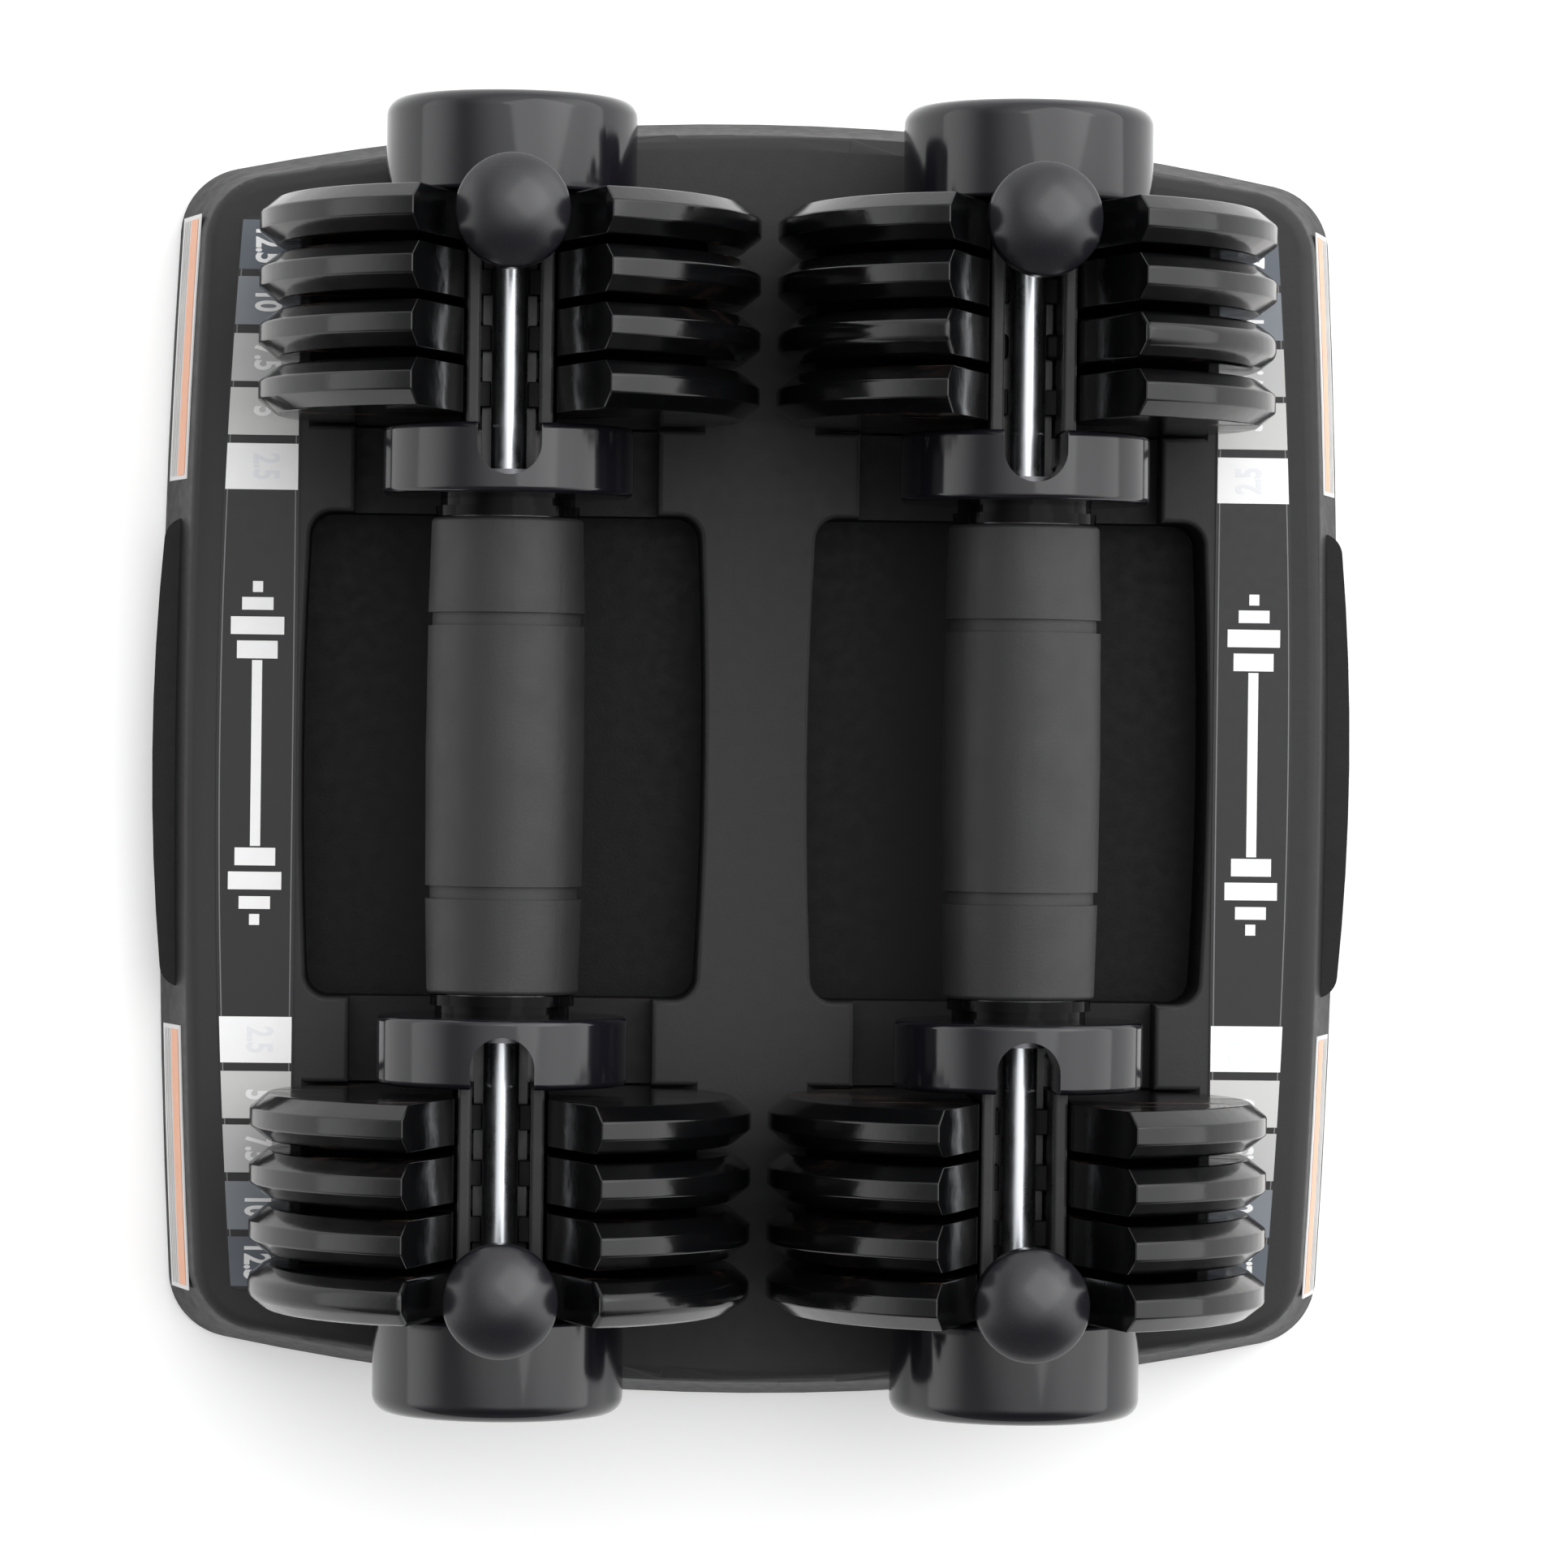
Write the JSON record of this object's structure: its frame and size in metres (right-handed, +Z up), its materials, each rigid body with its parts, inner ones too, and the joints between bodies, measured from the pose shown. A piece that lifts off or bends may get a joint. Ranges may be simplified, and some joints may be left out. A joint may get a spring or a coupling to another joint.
{
  "type": "adjustable dumbbell",
  "caption": "Twin sliding-selector adjustable dumbbells with slotted round plates, lying in their storage tray.",
  "frame": {"origin": "centre of the tray's footprint, on the plane its feet stand on", "axes": "+Z up, +Y along both dumbbells, +X across from the left dumbbell to the right one"},
  "size_m": [0.2872, 0.3068, 0.1156],
  "materials": {
    "tray_plastic": "fine-grained satin moulding, black",
    "foot_rubber": "matte",
    "strip_vinyl": "black vinyl strip with pale to dark grey printed boxes",
    "label_vinyl": "pale blank label with one orange stripe",
    "plate_enamel": "gloss black enamel with brown scuffs",
    "tube_steel": "bare tube",
    "grip_rubber": "soft matte dark grey sleeve",
    "trim_plastic": "gloss black",
    "collar_plastic": "gloss dark grey",
    "channel_steel": "satin black",
    "cap_plastic": "gloss dark grey",
    "screw_steel": "black oxide",
    "bar_chrome": "drawn and chromed",
    "pin_steel": "bare",
    "knob_plastic": "satin black dome",
    "spring_steel": "music wire"
  },
  "bodies": {
    "tray": {"tray_shell": "tray_plastic", "tray_feet": "foot_rubber", "scale_strip_left": "strip_vinyl", "scale_strip_right": "strip_vinyl", "side_labels": "label_vinyl"},
    "handle_left": {"handle_tube_left": "tube_steel", "grip_left": "grip_rubber", "grip_rings_left": "trim_plastic", "collar_left_front": "collar_plastic", "channel_left_front": "channel_steel", "end_cap_left_front": "cap_plastic", "end_screws_left_front": "screw_steel", "collar_left_back": "collar_plastic", "channel_left_back": "channel_steel", "end_cap_left_back": "cap_plastic", "end_screws_left_back": "screw_steel"},
    "selector_left_front": {"selector_bar_left_front": "bar_chrome", "knob_spring_left_front": "spring_steel"},
    "knob_set_left_front": {"knob_left_front": "knob_plastic", "plunger_pin_left_front": "pin_steel"},
    "plate_left_front_1": {"plate_left_front_1": "plate_enamel"},
    "plate_left_front_2": {"plate_left_front_2": "plate_enamel"},
    "plate_left_front_3": {"plate_left_front_3": "plate_enamel"},
    "plate_left_front_4": {"plate_left_front_4": "plate_enamel"},
    "selector_left_back": {"selector_bar_left_back": "bar_chrome", "knob_spring_left_back": "spring_steel"},
    "knob_set_left_back": {"knob_left_back": "knob_plastic", "plunger_pin_left_back": "pin_steel"},
    "plate_left_back_1": {"plate_left_back_1": "plate_enamel"},
    "plate_left_back_2": {"plate_left_back_2": "plate_enamel"},
    "plate_left_back_3": {"plate_left_back_3": "plate_enamel"},
    "plate_left_back_4": {"plate_left_back_4": "plate_enamel"},
    "handle_right": {"handle_tube_right": "tube_steel", "grip_right": "grip_rubber", "grip_rings_right": "trim_plastic", "collar_right_front": "collar_plastic", "channel_right_front": "channel_steel", "end_cap_right_front": "cap_plastic", "end_screws_right_front": "screw_steel", "collar_right_back": "collar_plastic", "channel_right_back": "channel_steel", "end_cap_right_back": "cap_plastic", "end_screws_right_back": "screw_steel"},
    "selector_right_front": {"selector_bar_right_front": "bar_chrome", "knob_spring_right_front": "spring_steel"},
    "knob_set_right_front": {"knob_right_front": "knob_plastic", "plunger_pin_right_front": "pin_steel"},
    "plate_right_front_1": {"plate_right_front_1": "plate_enamel"},
    "plate_right_front_2": {"plate_right_front_2": "plate_enamel"},
    "plate_right_front_3": {"plate_right_front_3": "plate_enamel"},
    "plate_right_front_4": {"plate_right_front_4": "plate_enamel"},
    "selector_right_back": {"selector_bar_right_back": "bar_chrome", "knob_spring_right_back": "spring_steel"},
    "knob_set_right_back": {"knob_right_back": "knob_plastic", "plunger_pin_right_back": "pin_steel"},
    "plate_right_back_1": {"plate_right_back_1": "plate_enamel"},
    "plate_right_back_2": {"plate_right_back_2": "plate_enamel"},
    "plate_right_back_3": {"plate_right_back_3": "plate_enamel"},
    "plate_right_back_4": {"plate_right_back_4": "plate_enamel"}
  },
  "joints": [
    {"name": "lift_left", "type": "slide", "parent": "tray", "child": "handle_left", "axis": [0, 0, 1], "range_m": [0, 0.12]},
    {"name": "selector_slide_left_front", "type": "slide", "parent": "handle_left", "child": "selector_left_front", "axis": [0, 1, 0], "range_m": [0, 0.052]},
    {"name": "knob_lift_left_front", "type": "slide", "parent": "selector_left_front", "child": "knob_set_left_front", "axis": [0, 0, 1], "range_m": [0, 0.004], "stiffness_N_per_m": 600, "springref_m": -0.002, "deforming": ["knob_spring_left_front"]},
    {"name": "plate_left_front_1_lift", "type": "slide", "parent": "tray", "child": "plate_left_front_1", "axis": [0, 0, 1], "range_m": [0, 0.12]},
    {"name": "plate_left_front_2_lift", "type": "slide", "parent": "tray", "child": "plate_left_front_2", "axis": [0, 0, 1], "range_m": [0, 0.12]},
    {"name": "plate_left_front_3_lift", "type": "slide", "parent": "tray", "child": "plate_left_front_3", "axis": [0, 0, 1], "range_m": [0, 0.12]},
    {"name": "plate_left_front_4_lift", "type": "slide", "parent": "tray", "child": "plate_left_front_4", "axis": [0, 0, 1], "range_m": [0, 0.12]},
    {"name": "selector_slide_left_back", "type": "slide", "parent": "handle_left", "child": "selector_left_back", "axis": [0, -1, 0], "range_m": [0, 0.052]},
    {"name": "knob_lift_left_back", "type": "slide", "parent": "selector_left_back", "child": "knob_set_left_back", "axis": [0, 0, 1], "range_m": [0, 0.004], "stiffness_N_per_m": 600, "springref_m": -0.002, "deforming": ["knob_spring_left_back"]},
    {"name": "plate_left_back_1_lift", "type": "slide", "parent": "tray", "child": "plate_left_back_1", "axis": [0, 0, 1], "range_m": [0, 0.12]},
    {"name": "plate_left_back_2_lift", "type": "slide", "parent": "tray", "child": "plate_left_back_2", "axis": [0, 0, 1], "range_m": [0, 0.12]},
    {"name": "plate_left_back_3_lift", "type": "slide", "parent": "tray", "child": "plate_left_back_3", "axis": [0, 0, 1], "range_m": [0, 0.12]},
    {"name": "plate_left_back_4_lift", "type": "slide", "parent": "tray", "child": "plate_left_back_4", "axis": [0, 0, 1], "range_m": [0, 0.12]},
    {"name": "lift_right", "type": "slide", "parent": "tray", "child": "handle_right", "axis": [0, 0, 1], "range_m": [0, 0.12]},
    {"name": "selector_slide_right_front", "type": "slide", "parent": "handle_right", "child": "selector_right_front", "axis": [0, 1, 0], "range_m": [0, 0.052]},
    {"name": "knob_lift_right_front", "type": "slide", "parent": "selector_right_front", "child": "knob_set_right_front", "axis": [0, 0, 1], "range_m": [0, 0.004], "stiffness_N_per_m": 600, "springref_m": -0.002, "deforming": ["knob_spring_right_front"]},
    {"name": "plate_right_front_1_lift", "type": "slide", "parent": "tray", "child": "plate_right_front_1", "axis": [0, 0, 1], "range_m": [0, 0.12]},
    {"name": "plate_right_front_2_lift", "type": "slide", "parent": "tray", "child": "plate_right_front_2", "axis": [0, 0, 1], "range_m": [0, 0.12]},
    {"name": "plate_right_front_3_lift", "type": "slide", "parent": "tray", "child": "plate_right_front_3", "axis": [0, 0, 1], "range_m": [0, 0.12]},
    {"name": "plate_right_front_4_lift", "type": "slide", "parent": "tray", "child": "plate_right_front_4", "axis": [0, 0, 1], "range_m": [0, 0.12]},
    {"name": "selector_slide_right_back", "type": "slide", "parent": "handle_right", "child": "selector_right_back", "axis": [0, -1, 0], "range_m": [0, 0.052]},
    {"name": "knob_lift_right_back", "type": "slide", "parent": "selector_right_back", "child": "knob_set_right_back", "axis": [0, 0, 1], "range_m": [0, 0.004], "stiffness_N_per_m": 600, "springref_m": -0.002, "deforming": ["knob_spring_right_back"]},
    {"name": "plate_right_back_1_lift", "type": "slide", "parent": "tray", "child": "plate_right_back_1", "axis": [0, 0, 1], "range_m": [0, 0.12]},
    {"name": "plate_right_back_2_lift", "type": "slide", "parent": "tray", "child": "plate_right_back_2", "axis": [0, 0, 1], "range_m": [0, 0.12]},
    {"name": "plate_right_back_3_lift", "type": "slide", "parent": "tray", "child": "plate_right_back_3", "axis": [0, 0, 1], "range_m": [0, 0.12]},
    {"name": "plate_right_back_4_lift", "type": "slide", "parent": "tray", "child": "plate_right_back_4", "axis": [0, 0, 1], "range_m": [0, 0.12]}
  ],
  "couplings": [
    {"joint": "plate_left_front_1_lift", "follows": "lift_left", "ratio": 1},
    {"joint": "plate_left_front_2_lift", "follows": "lift_left", "ratio": 1},
    {"joint": "plate_left_front_3_lift", "follows": "lift_left", "ratio": 1},
    {"joint": "plate_left_front_4_lift", "follows": "lift_left", "ratio": 1},
    {"joint": "plate_left_back_1_lift", "follows": "lift_left", "ratio": 1},
    {"joint": "plate_left_back_2_lift", "follows": "lift_left", "ratio": 1},
    {"joint": "plate_left_back_3_lift", "follows": "lift_left", "ratio": 1},
    {"joint": "plate_left_back_4_lift", "follows": "lift_left", "ratio": 1},
    {"joint": "plate_right_front_1_lift", "follows": "lift_right", "ratio": 1},
    {"joint": "plate_right_front_2_lift", "follows": "lift_right", "ratio": 1},
    {"joint": "plate_right_front_3_lift", "follows": "lift_right", "ratio": 1},
    {"joint": "plate_right_front_4_lift", "follows": "lift_right", "ratio": 1},
    {"joint": "plate_right_back_1_lift", "follows": "lift_right", "ratio": 1},
    {"joint": "plate_right_back_2_lift", "follows": "lift_right", "ratio": 1},
    {"joint": "plate_right_back_3_lift", "follows": "lift_right", "ratio": 1},
    {"joint": "plate_right_back_4_lift", "follows": "lift_right", "ratio": 1}
  ]
}
